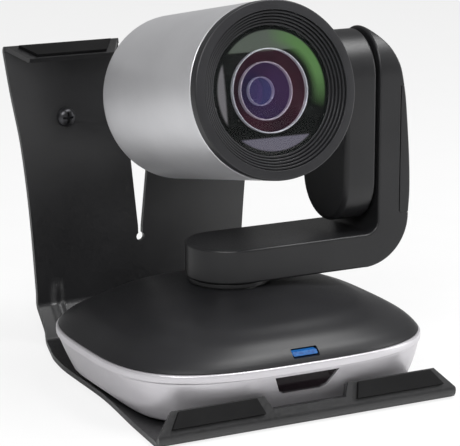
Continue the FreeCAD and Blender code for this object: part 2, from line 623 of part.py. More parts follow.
def turned_gear(teeth, module, bore, x0, x1, z, first):
    """A spur gear about the X axis; first is the angle of its first tooth from +Z, in degrees."""
    wheel = gear(teeth, module, x1 - x0, bore, first)
    wheel.rotate(Vec(0, 0, 0), Y_AXIS, 90)
    wheel.rotate(Vec(0, 0, 0), X_AXIS, 180)
    wheel.translate(Vec(x0, 0, z))
    return wheel


def tilt_bearing():
    return tube_x(8.5, 6.0 + RUN, POD_X[0], POD_X[0] + 6, 0, TILT_Z)


def tilt_motor():
    """The flat tilt motor against the pod's inner wall, with its shaft."""
    x0 = POD_X[0] + SKIN
    can = cylinder(7.5, Vec(x0, 0, TILT_DRIVE_Z), Vec(x0 + 6.2, 0, TILT_DRIVE_Z))
    return can.fuse(cylinder(1.0, Vec(x0 + 6, 0, TILT_DRIVE_Z), Vec(x0 + 9.6, 0, TILT_DRIVE_Z)))


TILT_GEAR_X = (49.2, 51.7)


def tilt_pinion():
    return turned_gear(TILT_PINION_TEETH, TILT_MODULE, 1.0 + RUN, *TILT_GEAR_X, TILT_DRIVE_Z, 180 / TILT_PINION_TEETH)


def tilt_gear():
    return turned_gear(TILT_TEETH, TILT_MODULE, 6.0, *TILT_GEAR_X, TILT_Z, 180)


# ---- head (drawn level about the tilt axis, looking along -Y) --------------------------------------------
LENS_TUBE_R = 23.9
RING_SEATS = [(15.4, 14.5, -31.5, -30.5), (10.9, 9.8, -28.2, -27.4), (5.6, 4.8, -24.2, -23.4)]
FLANGE_Y = (-27.7, -25.7)
SCREW_R = 26.8                   # pitch radius of the screws that hold the bezel
SCREW_ANGLES = (90, 210, 330)
ZOOM_Y = (-13.2, -7.2)
FOCUS_Y = (5.0, 9.0)
ROD_SPOTS = [(-17.5, 0.0), (17.5, 0.0)]


def placed(shape):
    """Move a head piece from its level drawing position to its place in the camera."""
    shape = shape.copy()
    shape.rotate(Vec(0, 0, 0), X_AXIS, -HEAD_TILT)
    shape.translate(Vec(0, 0, TILT_Z))
    return shape


def barrel_form(inset, y0):
    """The barrel's slightly tapering outside, drawn in by inset, with a rounded rear edge."""
    y1 = BARREL_Y[1] - inset
    form = Part.makeCone(HEAD_R - inset, BARREL_BACK_R - inset, y1 - y0, Vec(0, y0, 0), Y_AXIS)
    rear = [edge for edge in form.Edges if edge.BoundBox.YMin > y1 - 0.1]
    return form.makeFillet(5.5 - inset, rear)


def barrel_shell():
    """The silver barrel: open at the front, closed behind, with posts for the camera board."""
    front = BARREL_Y[0]
    shell = barrel_form(0, front).cut(barrel_form(2.0, front - 1))
    rim = revolve_y([(HEAD_R - 0.5, front - 0.1), (HEAD_R + 0.2, front - 0.1), (HEAD_R + 0.2, front + 0.6)])
    shell = shell.cut(rim)
    for x in (-16, 16):
        for z in (-12, 12):
            shell = shell.fuse(cylinder(2.2, Vec(x, 29.0, z), Vec(x, 45.0, z)))
    return shell.cut(cylinder(9.0, Vec(20, 0, 0), Vec(40, 0, 0)))


def front_bezel():
    """The black bezel: a face ring, five steps down to the glass, and a spigot inside the barrel."""
    front = BEZEL_FRONT
    outline = [(HEAD_R, BARREL_Y[0]), (HEAD_R, front + 0.7), (HEAD_R - 0.7, front)]
    radius, y = 28.4, front
    while radius > 24.0:
        outline += [(radius, y), (radius, y + 0.76)]
        radius, y = radius - 1.03, y + 0.76
    outline += [(GLASS_R, y), (GLASS_R, y + 2.2), (LENS_TUBE_R + 0.3, y + 2.2), (LENS_TUBE_R + 0.3, FLANGE_Y[0])]
    outline += [(HEAD_R - 2.2, FLANGE_Y[0]), (HEAD_R - 2.2, BARREL_Y[0])]
    bezel = revolve_y(outline)
    for x, z in on_circle(SCREW_R):
        bezel = bezel.cut(cylinder(1.2, Vec(x, FLANGE_Y[0] - 3.0, z), Vec(x, FLANGE_Y[0] + 1, z)))
    return bezel


def on_circle(radius):
    """The (x, z) spots of the three bezel screws."""
    return [(radius * math.cos(math.radians(a)), radius * math.sin(math.radians(a))) for a in SCREW_ANGLES]


def bezel_screws():
    screws = []
    for x, z in on_circle(SCREW_R):
        shank = cylinder(1.2, Vec(x, FLANGE_Y[0] - 3.0, z), Vec(x, FLANGE_Y[1], z))
        screws.append(shank.fuse(cylinder(2.2, Vec(x, FLANGE_Y[1], z), Vec(x, FLANGE_Y[1] + 1.4, z))))
    return group(screws)


def lens(radius, edge_y, front_rise, back_rise, edge):
    """A glass element: a rim of the given thickness with domed front and rear faces."""
    def cap(base_y, rise, towards):
        sphere_r = (radius ** 2 + rise ** 2) / (2 * rise)
        centre = Vec(0, base_y + towards * (rise - sphere_r), 0)
        half = cylinder(radius, Vec(0, base_y, 0), Vec(0, base_y + towards * (rise + 0.5), 0))
        return Part.makeSphere(sphere_r, centre).common(half)
    body = cylinder(radius, Vec(0, edge_y, 0), Vec(0, edge_y + edge, 0))
    body = body.fuse(cap(edge_y, front_rise, -1))
    if back_rise:
        body = body.fuse(cap(edge_y + edge, back_rise, 1))
    return body.removeSplitter()


def front_glass():
    """The big convex front window."""
    outer = lens(GLASS_R, -33.1, 2.1, 0, 0.8)
    sphere_r = (GLASS_R ** 2 + 2.1 ** 2) / 4.2
    hollow = Part.makeSphere(sphere_r, Vec(0, -32.3 + sphere_r - 2.1, 0))
    return outer.cut(hollow.common(box(-30, 30, -50, -32.2, -30, 30)))


def lens_cell():
    """The black stepped cell that holds the front lens group and its three bright rings."""
    outline = [(22.55, -31.8), (15.4, -31.4), (15.4, -28.8), (10.9, -28.4), (10.9, -25.6), (5.6, -24.6), (5.6, -21.2)]
    return revolve_y(outline + [(22.55, -21.2)])


def lens_ring(seat, bore, y0, y1):
    """A bright retaining ring with a bevelled front edge."""
    return revolve_y([(seat, y0), (seat, y1), (bore, y1), (bore, y0 + 0.35), (bore + 0.3, y0)])


def lens_tube():
    """The lens tube with its mounting flange in front and the sensor plate behind."""
    tube = revolve_y([(LENS_TUBE_R, -30.4), (LENS_TUBE_R, FLANGE_Y[0]), (HEAD_R - 2.4, FLANGE_Y[0]),
                      (HEAD_R - 2.4, FLANGE_Y[1]), (LENS_TUBE_R, FLANGE_Y[1]), (LENS_TUBE_R, 18.0), (7.0, 18.0),
                      (7.0, 16.0), (22.6, 16.0), (22.6, -30.4)])
    for x in (-14, 14):
        for z in (-10, 10):
            tube = tube.fuse(cylinder(1.6, Vec(x, 17.5, z), Vec(x, 20.4, z)))
    for x, z in on_circle(SCREW_R):
        tube = tube.cut(cylinder(1.2, Vec(x, -32, z), Vec(x, -22, z)))
    for x, z in ROD_SPOTS:
        tube = tube.cut(cylinder(1.0, Vec(x, 14, z), Vec(x, 17.2, z)))
    return tube


def guide_rods():
    """Two steel rods on which both moving lens groups slide."""
    return group([cylinder(1.0, Vec(x, -21.2, z), Vec(x, 17.2, z)) for x, z in ROD_SPOTS])


def lens_carrier(lens_r, y0, y1):
    """A moving lens frame: a round hub with two ears that run on the guide rods and an arm for its magnet."""
    carrier = cylinder(lens_r + 3.0, Vec(0, y0, 0), Vec(0, y1, 0))
    carrier = carrier.fuse(box(-20.0, 20.0, y0, y1, -2.4, 2.4))
    carrier = carrier.fuse(box(-2.5, 2.5, y0, y1, -17.0, 0))
    carrier = carrier.cut(cylinder(lens_r, Vec(0, y0 - 1, 0), Vec(0, y1 + 1, 0)))
    for x, z in ROD_SPOTS:
        carrier = carrier.cut(cylinder(1.0 + RUN, Vec(x, y0 - 1, z), Vec(x, y1 + 1, z)))
    return carrier


def drive_rail():
    """The linear drive rail under the lens groups."""
    return box(-4.0, 4.0, -21.2, 16.0, -21.0, -18.0)


def image_sensor():
    return box(-5.5, 5.5, 18.4, 20.4, -4.5, 4.5)


def sensor_board():
    return box(-18, 18, 20.4, 21.8, -14, 14)


def camera_board():
    board = box(-20, 20, 27.6, 29.0, -15.5, 15.5)
    return board.fuse([box(-9, 5, 25.8, 27.6, -7, 7), box(9, 17, 26.4, 27.6, -6, 6)])


def tilt_hub():
    """The hollow trunnion: a saddle against the barrel, a spigot through its wall and a shaft into the pod."""
    hub = cylinder(14.0, Vec(20, 0, 0), Vec(POD_X[0] - 0.35, 0, 0)).cut(barrel_form(0, BARREL_Y[0]))
    hub = hub.fuse(cylinder(9.0, Vec(27.5, 0, 0), Vec(36, 0, 0)))
    hub = hub.fuse(cylinder(6.0, Vec(36, 0, 0), Vec(TILT_GEAR_X[1] + 0.2, 0, 0)))
    return hub.cut(cylinder(4.0, Vec(20, 0, 0), Vec(60, 0, 0)))


def head_pieces():
    zoom = lens_carrier(7.5, *ZOOM_Y)
    focus = lens_carrier(6.0, *FOCUS_Y)
    pieces = {
        "barrel_shell": barrel_shell(), "front_bezel": front_bezel(), "front_glass": front_glass(),
        "lens_cell": lens_cell(), "lens_tube": lens_tube(), "bezel_screws": bezel_screws(),
        "outer_lens": lens(15.4, -30.5, 1.6, 0.0, 1.6), "middle_lens": lens(10.9, -27.4, 1.2, 0.0, 1.6),
        "inner_lens": lens(5.6, -23.4, 0.7, 0.0, 1.6), "guide_rods": guide_rods(), "lens_drive_rail": drive_rail(),
        "zoom_lens_carrier": zoom, "zoom_lens": lens(7.5, ZOOM_Y[0] + 1.5, 1.2, 1.2, 3.0),
        "focus_lens_carrier": focus, "focus_lens": lens(6.0, FOCUS_Y[0] + 1.0, 0.8, 0.8, 2.0),
        "image_sensor": image_sensor(), "sensor_board": sensor_board(), "camera_board": camera_board(),
        "tilt_hub": tilt_hub(),
    }
    for name, seat in zip(("outer", "middle", "inner"), RING_SEATS):
        ring = lens_ring(*seat)
        pieces["lens_ring_" + name] = ring
        pieces[name + "_lens"] = pieces[name + "_lens"].cut(ring)
    return {node: placed(shape) for node, shape in pieces.items()}


def arm_pieces():
    housing, cover = arm_shells()
    screws = arm_screws()
    frame, disc = arm_frame(), turntable_disc()
    for screw in screws:
        housing, frame, disc = housing.cut(screw), frame.cut(screw), disc.cut(screw)
    return {
        "turntable_disc": disc, "pan_spindle": pan_spindle(), "pan_gear": pan_gear(), "arm_housing": housing,
        "arm_side_cover": cover, "pod_shell": pod_shell(), "arm_frame": frame, "arm_screws": group(screws),
        "tilt_bearing": tilt_bearing(), "tilt_motor": tilt_motor(),
    }


def base_pieces():
    return {
        "wall_bracket": wall_bracket(), "front_lip_pads": front_lip_pads(), "top_lip_pads": top_lip_pads(),
        "wall_screws": wall_screws(), "tripod_screw": tripod_screw(), "base_skirt": base_skirt(),
        "base_top_cover": base_top_cover(), "base_bottom_plate": base_bottom_plate(), "rubber_feet": rubber_feet(),
        "base_screws": base_screws(), "tripod_insert": tripod_insert(), "status_light": status_light(),
        "ir_window": ir_window(), "ir_receiver": ir_receiver(), "rear_port_panel": rear_port_panel(),
        "usb_socket": usb_socket(), "dc_socket": dc_socket(), "main_board": main_board(), "board_chips": board_chips(),
        "board_screws": board_screws(), "pan_chassis": pan_chassis(), "chassis_posts": chassis_posts(),
        "pan_bearing": pan_bearing(), "pan_motor": pan_motor(),
    }


def main():
    os.makedirs("parts", exist_ok=True)
    pieces = {**base_pieces(), "pan_pinion": pan_pinion(), **arm_pieces(), "tilt_pinion": tilt_pinion()}
    pieces["tilt_gear"] = tilt_gear()
    pieces.update(head_pieces())
    for node, shape in pieces.items():
        if not shape.isValid():
            print("not valid:", node)
        save(node, shape)
    print(len(pieces), "pieces")


main()
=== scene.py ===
"""The looks of a pan-tilt-zoom camera on its bent steel bracket.

Lengths are in millimetres until a mesh is made.
"""
import json
import math
import bmesh
import bpy
from mathutils import Matrix, Vector


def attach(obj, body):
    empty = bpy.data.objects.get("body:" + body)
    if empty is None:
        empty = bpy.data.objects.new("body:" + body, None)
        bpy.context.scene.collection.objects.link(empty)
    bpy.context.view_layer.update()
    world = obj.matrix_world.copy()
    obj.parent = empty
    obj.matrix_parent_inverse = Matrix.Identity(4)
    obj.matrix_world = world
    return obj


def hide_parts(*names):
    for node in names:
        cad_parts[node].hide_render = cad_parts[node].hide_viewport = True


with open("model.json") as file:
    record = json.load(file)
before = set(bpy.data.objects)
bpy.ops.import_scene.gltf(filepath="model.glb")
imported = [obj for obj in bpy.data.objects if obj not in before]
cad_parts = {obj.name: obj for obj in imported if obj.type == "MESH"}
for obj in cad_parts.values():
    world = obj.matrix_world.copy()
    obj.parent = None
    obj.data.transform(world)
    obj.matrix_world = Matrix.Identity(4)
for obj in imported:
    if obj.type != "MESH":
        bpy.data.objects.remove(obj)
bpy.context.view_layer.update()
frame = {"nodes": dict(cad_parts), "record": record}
MM = 0.001
TILT_Z = 108.1
HEAD = Matrix.Translation((0, 0, TILT_Z)) @ Matrix.Rotation(math.radians(-10.8), 4, "X")


# ---- mesh helpers ---------------------------------------------------------------------------------------
def build(name, verts, faces, material, body=None, replaces=(), slot=None, sharp=38,
          weighted=True, place=None):
    """Make an object from millimetre points, smooth to the sharp angle, with its body and material."""
    mesh = bpy.data.meshes.new(name)
    points = [place @ Vector(v) for v in verts] if place else [Vector(v) for v in verts]
    mesh.from_pydata([p * MM for p in points], [], faces)
    obj = bpy.data.objects.new(name, mesh)
    bpy.context.scene.collection.objects.link(obj)
    clean(mesh, sharp)
    mesh.materials.append(material)
    if weighted:
        obj.modifiers.new("normals", "WEIGHTED_NORMAL").keep_sharp = True
    if body:
        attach(obj, body)
    if replaces:
        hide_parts(*replaces)
    return obj


def clean(mesh, sharp):
    """Merge doubled points, turn the faces outwards and mark the edges sharper than the given angle."""
    bm = bmesh.new()
    bm.from_mesh(mesh)
    bmesh.ops.remove_doubles(bm, verts=bm.verts, dist=2e-6)
    bmesh.ops.dissolve_degenerate(bm, edges=bm.edges, dist=1e-7)
    bmesh.ops.recalc_face_normals(bm, faces=bm.faces)
    for face in bm.faces:
        face.smooth = True
    for edge in bm.edges:
        if len(edge.link_faces) == 2:
            edge.smooth = edge.calc_face_angle(0) < math.radians(sharp)
    bm.to_mesh(mesh)
    bm.free()


def skin(loops, cyclic=True, caps=True):
    """Quads between equal loops of points, with a face over each end."""
    count = len(loops[0])
    verts = [point for loop in loops for point in loop]
    faces = []
    for i in range(len(loops) - 1):
        for j in range(count if cyclic else count - 1):
            k = (j + 1) % count
            faces.append((i * count + j, i * count + k, (i + 1) * count + k, (i + 1) * count + j))
    if caps:
        faces.append(tuple(range(count)))
        faces.append(tuple(range((len(loops) - 1) * count, len(loops) * count)))
    return verts, faces


def revolved(profile, steps=144, axis="Y"):
    """Loops of a (radius, height) profile turned about the Y or Z axis."""
    loops = []
    for radius, height in profile:
        ring = [(radius * math.cos(2 * math.pi * i / steps), radius * math.sin(2 * math.pi * i / steps))
                for i in range(steps)]
        loops.append([(a, height, b) if axis == "Y" else (a, b, height) for a, b in ring])
    return loops


def rounded(profile, radii, steps=4):
    """The profile with an arc of the given radius in place of each corner that has one."""
    out = []
    for i, point in enumerate(profile):
        radius = radii.get(i, 0) if isinstance(radii, dict) else radii
        if not radius or i in (0, len(profile) - 1):
            out.append(point)
            continue
        p, a, b = Vector(point), Vector(profile[i - 1]), Vector(profile[i + 1])
        to_a, to_b = (a - p), (b - p)
        half = to_a.angle(to_b) / 2
        if half > math.radians(89):
            out.append(point)
            continue
        reach = min(radius / math.tan(half), to_a.length * 0.49, to_b.length * 0.49)
        radius = reach * math.tan(half)
        start, end = p + to_a.normalized() * reach, p + to_b.normalized() * reach
        centre = p + (to_a.normalized() + to_b.normalized()).normalized() * (radius / math.sin(half))
        first, last = start - centre, end - centre
        sweep = first.angle(last)
        for k in range(steps + 1):
            t = k / steps
            spoke = (first * math.sin((1 - t) * sweep) + last * math.sin(t * sweep)) / math.sin(sweep)
            out.append(tuple(centre + spoke))
    return out


def squircle(half, power, z, centre=-6.6, depth=0.857, count=192):
    """A rounded-rectangle loop, half wide in X and half * depth in Y, about (0, centre)."""
    points = []
    for i in range(count):
        angle = 2 * math.pi * i / count
        c, s = math.cos(angle), math.sin(angle)
        reach = half * (abs(c) ** power + abs(s) ** power) ** (-1 / power)
        points.append((reach * c, centre + reach * s * depth, z))
    return points


def smooth_lerp(table, x):
    """Monotone cubic interpolation in a sorted table of (x, value) pairs."""
    n = len(table)
    if x <= table[0][0]:
        return table[0][1]
    if x >= table[-1][0]:
        return table[-1][1]
    i = max(k for k in range(n - 1) if table[k][0] <= x)
    slopes = [(table[k + 1][1] - table[k][1]) / (table[k + 1][0] - table[k][0]) for k in range(n - 1)]

    def tangent(k):
        if k in (0, n - 1):
            return slopes[min(k, n - 2)]
        a, b = slopes[k - 1], slopes[k]
        return 0.0 if a * b <= 0 else 2 * a * b / (a + b)
    (x0, y0), (x1, y1) = table[i], table[i + 1]
    h, t = x1 - x0, (x - x0) / (x1 - x0)
    return ((2 * t ** 3 - 3 * t ** 2 + 1) * y0 + (t ** 3 - 2 * t ** 2 + t) * h * tangent(i)
            + (-2 * t ** 3 + 3 * t ** 2) * y1 + (t ** 3 - t ** 2) * h * tangent(i + 1))


def prism(points, direction):
    """Points and faces of a flat outline pushed along a direction."""
    far = [tuple(Vector(p) + Vector(direction)) for p in points]
    return skin([list(points), far])


def bar(x0, x1, y0, y1, z0, z1):
    return prism([(x0, y0, z0), (x1, y0, z0), (x1, y1, z0), (x0, y1, z0)], (0, 0, z1 - z0))


def carve(obj, cutters, operation="DIFFERENCE", sharp=38):
    """Cut (verts, faces) shapes in millimetres out of the object, for good."""
    for verts, faces in cutters:
        mesh = bpy.data.meshes.new("cutter")
        mesh.from_pydata([Vector(v) * MM for v in verts], [], faces)
        clean(mesh, 30)
        tool = bpy.data.objects.new("cutter", mesh)
        bpy.context.scene.collection.objects.link(tool)
        boolean = obj.modifiers.new("cut", "BOOLEAN")
        boolean.operation, boolean.solver, boolean.object = operation, "EXACT", tool
        obj.modifiers.move(len(obj.modifiers) - 1, 0)
        shown = [m for m in obj.modifiers if m != boolean]
        state = [m.show_viewport for m in shown]
        for m in shown:
            m.show_viewport = False
        graph = bpy.context.evaluated_depsgraph_get()
        made = bpy.data.meshes.new_from_object(obj.evaluated_get(graph))
        obj.modifiers.remove(boolean)
        for m, on in zip(shown, state):
            m.show_viewport = on
        obj.data = made
        clean(made, sharp)
        bpy.data.objects.remove(tool)
        bpy.data.meshes.remove(mesh)


def bevel(obj, width, angle=40, segments=2):
    """Round the sharp edges of an object by width millimetres."""
    mod = obj.modifiers.new("edges", "BEVEL")
    mod.width, mod.segments, mod.limit_method = width * MM, segments, "ANGLE"
    mod.angle_limit = math.radians(angle)
    mod.miter_outer = "MITER_ARC"
    obj.modifiers.move(len(obj.modifiers) - 1, 0)


# ---- materials ------------------------------------------------------------------------------------------
def shader(name, metallic=0.0, **sockets):
    """A new material; returns it with its node tree and principled shader."""
    mat = bpy.data.materials.new(name)
    mat.use_nodes = True
    tree = mat.node_tree
    principled = tree.nodes["Principled BSDF"]
    principled.inputs["Metallic"].default_value = metallic
    for socket, value in sockets.items():
        principled.inputs[socket.replace("_", " ")].default_value = value
    return mat, tree, principled


def noise(tree, scale, detail=3.0, stretch=None, roughness=0.5):
    """A noise texture in object space, in patterns per metre."""
    coords = tree.nodes.new("ShaderNodeTexCoord")
    node = tree.nodes.new("ShaderNodeTexNoise")
    node.inputs["Scale"].default_value = scale
    node.inputs["Detail"].default_value = detail
    node.inputs["Roughness"].default_value = roughness
    source = coords.outputs["Object"]
    if stretch:
        mapping = tree.nodes.new("ShaderNodeMapping")
        mapping.inputs["Scale"].default_value = stretch
        tree.links.new(source, mapping.inputs["Vector"])
        source = mapping.outputs["Vector"]
    tree.links.new(source, node.inputs["Vector"])
    return node.outputs["Fac"]


def ranged(tree, value, low, high, start=0.35, end=0.65):
    """Map a value from start..end to low..high, clamped."""
    node = tree.nodes.new("ShaderNodeMapRange")
    node.inputs["From Min"].default_value, node.inputs["From Max"].default_value = start, end
    node.inputs["To Min"].default_value, node.inputs["To Max"].default_value = low, high
    tree.links.new(value, node.inputs["Value"])
    return node.outputs["Result"]


def mixed(tree, fac, a, b):
    """A colour between a and b; each is a colour or a socket."""
    node = tree.nodes.new("ShaderNodeMix")
    node.data_type = "RGBA"
    colour_a = [s for s in node.inputs if s.type == "RGBA"][0]
    colour_b = [s for s in node.inputs if s.type == "RGBA"][1]
    for socket, value in ((colour_a, a), (colour_b, b)):
        if isinstance(value, tuple):
            socket.default_value = (*value, 1)
        else:
            tree.links.new(value, socket)
    factor = [s for s in node.inputs if s.name == "Factor" and s.type == "VALUE"][0]
    if isinstance(fac, float):
        factor.default_value = fac
    else:
        tree.links.new(fac, factor)
    return [s for s in node.outputs if s.type == "RGBA"][0]


def bumped(tree, principled, height, strength, distance):
    """Drive the shader's normal from a height, with the distance in millimetres."""
    node = tree.nodes.new("ShaderNodeBump")
    node.inputs["Strength"].default_value = strength
    node.inputs["Distance"].default_value = distance * MM
    tree.links.new(height, node.inputs["Height"])
    tree.links.new(node.outputs["Normal"], principled.inputs["Normal"])


def textured(name, dark, light, rough, grain, depth, metallic=0.0, broad=60, strength=0.25,
             detail=3.0, **sockets):
    """A moulded, painted or cast finish: broad colour drift, fine grain, and uneven roughness."""
    mat, tree, principled = shader(name, metallic, **sockets)
    drift = noise(tree, broad, 4.0)
    fine = noise(tree, grain, detail)
    colour = mixed(tree, ranged(tree, drift, 0, 1, 0.3, 0.7), dark, light)
    speck = mixed(tree, ranged(tree, fine, 0.0, 0.35), colour, light)
    tree.links.new(speck, principled.inputs["Base Color"])
    tree.links.new(ranged(tree, fine, rough - 0.04, rough + 0.05), principled.inputs["Roughness"])
    bumped(tree, principled, fine, strength, depth)
    return mat


POWDER = textured("powder_coated_steel", (0.006, 0.006, 0.0065), (0.014, 0.014, 0.015), 0.38, 900, 0.05, broad=35,
                  strength=0.12, Specular_IOR_Level=0.62)
PLASTIC = textured("satin_black_plastic", (0.009, 0.009, 0.010), (0.015, 0.015, 0.016), 0.36, 2600, 0.02, broad=45,
                   strength=0.3, Specular_IOR_Level=0.35)
COVER = textured("base_cover_plastic", (0.010, 0.010, 0.011), (0.016, 0.016, 0.0175), 0.38, 2600, 0.015, broad=30,
                 strength=0.25, Specular_IOR_Level=0.3)
BEZEL = textured("bezel_plastic", (0.014, 0.014, 0.0155), (0.022, 0.022, 0.024), 0.38, 2400, 0.015, broad=60,
                 Specular_IOR_Level=0.35)
SILVER = textured("silver_metallic_paint", (0.62, 0.62, 0.64), (0.72, 0.72, 0.74), 0.36, 3800, 0.01, metallic=0.62,
                  broad=25, strength=0.04)
PALE = textured("pale_silver_paint", (0.50, 0.485, 0.51), (0.58, 0.565, 0.59), 0.34, 3800, 0.01, metallic=0.5,
                broad=25, strength=0.04)
RUBBER = textured("rubber", (0.003, 0.003, 0.0032), (0.006, 0.006, 0.0063), 0.6, 1500, 0.05, broad=80,
                  strength=0.25, Specular_IOR_Level=0.12)
ZINC = textured("zinc_plated_steel", (0.42, 0.42, 0.43), (0.56, 0.56, 0.56), 0.34, 1200, 0.02,
                metallic=1.0, broad=120)
BLACK_SCREW = textured("black_oxide_steel", (0.030, 0.030, 0.032), (0.055, 0.055, 0.06), 0.32, 1400, 0.02,
                       metallic=0.8, broad=150)
BRASS = textured("brass", (0.60, 0.44, 0.17), (0.72, 0.55, 0.25), 0.3, 900, 0.02, metallic=1.0)
NYLON = textured("gear_plastic", (0.72, 0.70, 0.63), (0.80, 0.78, 0.72), 0.5, 900, 0.03)
BOARD = textured("circuit_board", (0.012, 0.10, 0.04), (0.02, 0.16, 0.07), 0.4, 1800, 0.03, broad=300)
CHIP = textured("chip_black", (0.012, 0.012, 0.013), (0.022, 0.022, 0.023), 0.55, 2200, 0.02)
LENS_BLACK = textured("lens_black", (0.002, 0.002, 0.002), (0.004, 0.004, 0.0045), 0.4, 900, 0.01, broad=40,
                      strength=0.05, Specular_IOR_Level=0.1)
# painted highlight: the rings glow faintly, standing in for light caught on the lens element edges
GLOWING_RING = textured("bright_ring", (0.45, 0.45, 0.50), (0.56, 0.56, 0.62), 0.38, 300, 0.01, metallic=0.7, strength=0.02,
                Emission_Color=(0.75, 0.75, 0.85, 1), Emission_Strength=0.12)


def light_pipe():
    """The blue status bar: a glowing core seen through frosted plastic."""
    mat, tree, principled = shader("status_light", Roughness=0.45, Specular_IOR_Level=0.2, Emission_Strength=0.75)
    fine = noise(tree, 900)
    colour = mixed(tree, ranged(tree, fine, 0, 1), (0.01, 0.10, 0.36), (0.02, 0.17, 0.52))
    tree.links.new(colour, principled.inputs["Emission Color"])
    tree.links.new(mixed(tree, 0.9, colour, (0.0, 0.0, 0.0)), principled.inputs["Base Color"])
    return mat


def coated_glass(name, dark, light, clear=(1.0, 1.0, 1.0), ior=1.15):
    """Clear glass with an anti-reflection coating: its coloured coating reflection is painted as a faint glow that
    drifts between two tints, and its clear tint drifts a little too.
    """
    mat, tree, principled = shader(name, Roughness=0.01, IOR=ior, Transmission_Weight=1.0, Emission_Strength=1.0)
    coating_drift = noise(tree, 60, 2.0)
    # painted reflection: the coating's coloured reflection is given as emitted glow
    glow = mixed(tree, ranged(tree, coating_drift, 0, 1), dark, light)
    tree.links.new(glow, principled.inputs["Emission Color"])
    tint = mixed(tree, ranged(tree, coating_drift, 0, 1), clear, tuple(0.94 * part for part in clear))
    tree.links.new(tint, principled.inputs["Base Color"])
    return mat


def maths(tree, operation, a, b=0.0):
    """One math node; each input is a number or a socket."""
    node = tree.nodes.new("ShaderNodeMath")
    node.operation = operation
    for socket, value in zip(node.inputs, (a, b)):
        if isinstance(value, float):
            socket.default_value = value
        else:
            tree.links.new(value, socket)
    return node.outputs["Value"]


def front_window_glass():
    """The domed front glass, with the reflections of a green crescent and three grey panes painted on as a faint glow.
    """
    mat = coated_glass("front_glass", (0.0006, 0.0008, 0.0008), (0.0012, 0.0018, 0.0016), ior=1.2)
    tree = mat.node_tree
    principled = tree.nodes["Principled BSDF"]
    coords, shift = tree.nodes.new("ShaderNodeTexCoord"), tree.nodes.new("ShaderNodeVectorMath")
    turn, parts = tree.nodes.new("ShaderNodeVectorRotate"), tree.nodes.new("ShaderNodeSeparateXYZ")
    shift.operation = "SUBTRACT"
    shift.inputs[1].default_value = (0, 0, TILT_Z * MM)
    turn.rotation_type = "X_AXIS"
    turn.inputs["Angle"].default_value = math.radians(10.8)
    tree.links.new(coords.outputs["Object"], shift.inputs[0])
    tree.links.new(shift.outputs["Vector"], turn.inputs["Vector"])
    tree.links.new(turn.outputs["Vector"], parts.inputs["Vector"])
    x, z = parts.outputs["X"], parts.outputs["Z"]
    x_squared = maths(tree, "MULTIPLY", x, x)
    z_squared = maths(tree, "MULTIPLY", z, z)
    radius = maths(tree, "SQRT", maths(tree, "ADD", x_squared, z_squared))
    # Painted reflections: masks for a green crescent and three grey panes, fixed to the glass and mixed into its glow.
    inside = ranged(tree, radius, 1, 0, 0.0212, 0.0217)
    beyond_ring = ranged(tree, radius, 0, 1, 0.0152, 0.0185)
    sideways = maths(tree, "ADD", maths(tree, "MULTIPLY", x, 0.82), maths(tree, "MULTIPLY", z, 0.57))
    slant = maths(tree, "DIVIDE", sideways, radius)
    ring = maths(tree, "MULTIPLY", beyond_ring, inside)
    crescent = maths(tree, "MULTIPLY", ranged(tree, slant, 0, 1, 0.55, 0.95), ring)
    low = maths(tree, "MULTIPLY", ranged(tree, z, 1, 0, -0.0168, -0.0163), inside)
    left = maths(tree, "MULTIPLY", ranged(tree, x, 1, 0, -0.0190, -0.0184), inside)
    high = maths(tree, "MULTIPLY", ranged(tree, z, 0, 1, 0.0138, 0.0144), inside)
    colour = principled.inputs["Emission Color"].links[0].from_socket
    painted = [(low, (0.055, 0.052, 0.068)), (left, (0.07, 0.068, 0.072)), (high, (0.040, 0.048, 0.040)),
               (crescent, (0.042, 0.090, 0.030))]
    for mask, reflection_colour in painted:
        colour = mixed(tree, mask, colour, reflection_colour)
    tree.links.new(colour, principled.inputs["Emission Color"])
    return mat


LIGHT_BLUE = light_pipe()
WINDOW = textured("infrared_window", (0.008, 0.006, 0.007), (0.014, 0.010, 0.012), 0.1, 500, 0.01, broad=40,
                  strength=0.05)
FRONT_GLASS = front_window_glass()
PURPLE_GLASS = coated_glass("purple_coated_glass", (0.004, 0.0008, 0.003), (0.014, 0.002, 0.006),
                            (0.97, 0.92, 0.96))
BLUE_GLASS = coated_glass("blue_coated_glass", (0.001, 0.002, 0.010), (0.002, 0.005, 0.022),
                          (0.92, 0.94, 1.0))
PALE_GLASS = coated_glass("pale_coated_glass", (0.003, 0.008, 0.02), (0.006, 0.016, 0.04), (0.92, 0.96, 1.0))


# ---- base -----------------------------------------------------------------------------------------------
BASE_HALF, BASE_POWER = 63.6, 3.25
DOME = [(0.24, 37.25), (0.30, 36.9), (0.38, 36.3), (0.46, 35.5), (0.54, 34.6), (0.62, 33.6), (0.70, 32.4), (0.78, 30.4),
        (0.85, 28.7), (0.91, 26.7), (0.955, 24.9), (0.985, 23.1), (1.0, 21.9)]


def cover_loop(share, z, inset=0.0):
    """One level outline of the domed cover, drawn in by the inset."""
    spread = min(1, max(0, (share - 0.26) / 0.64))
    return squircle((BASE_HALF - 0.7) * share - inset, 2 + 1.25 * share ** 2, z, -6.6 * spread, 1 - 0.143 * spread)


def base_cover():
    """The black domed cover of the base."""
    loops = [squircle(14.6, 2, z, 0, 1) for z in (33.0, 37.1)] + [squircle(14.8, 2, 37.28, 0, 1)]
    for i in range(57):
        share = 0.24 + 0.76 * math.sin(math.pi / 2 * i / 56)
        loops.append(cover_loop(share, smooth_lerp(DOME, share)))
    loops += [cover_loop(1.0, 21.7, 0.15), cover_loop(1.0, 21.6, 0.6), cover_loop(1.0, 21.6, 3.0), cover_loop(0.5, 25.0)]
    loops.append(squircle(14.6, 2, 33.0, 0, 1))
    cover = build("base_dome", *skin(loops, caps=False), COVER, "base", ["base_top_cover"], "dark_plastic", sharp=50)
    slot = [(x, -75.0, z) for x, z in rounded_box(0, 24.6, 5.3, 1.45, 0.5)]
    carve(cover, [prism(slot, (0, 20, 0))], sharp=50)
    return cover


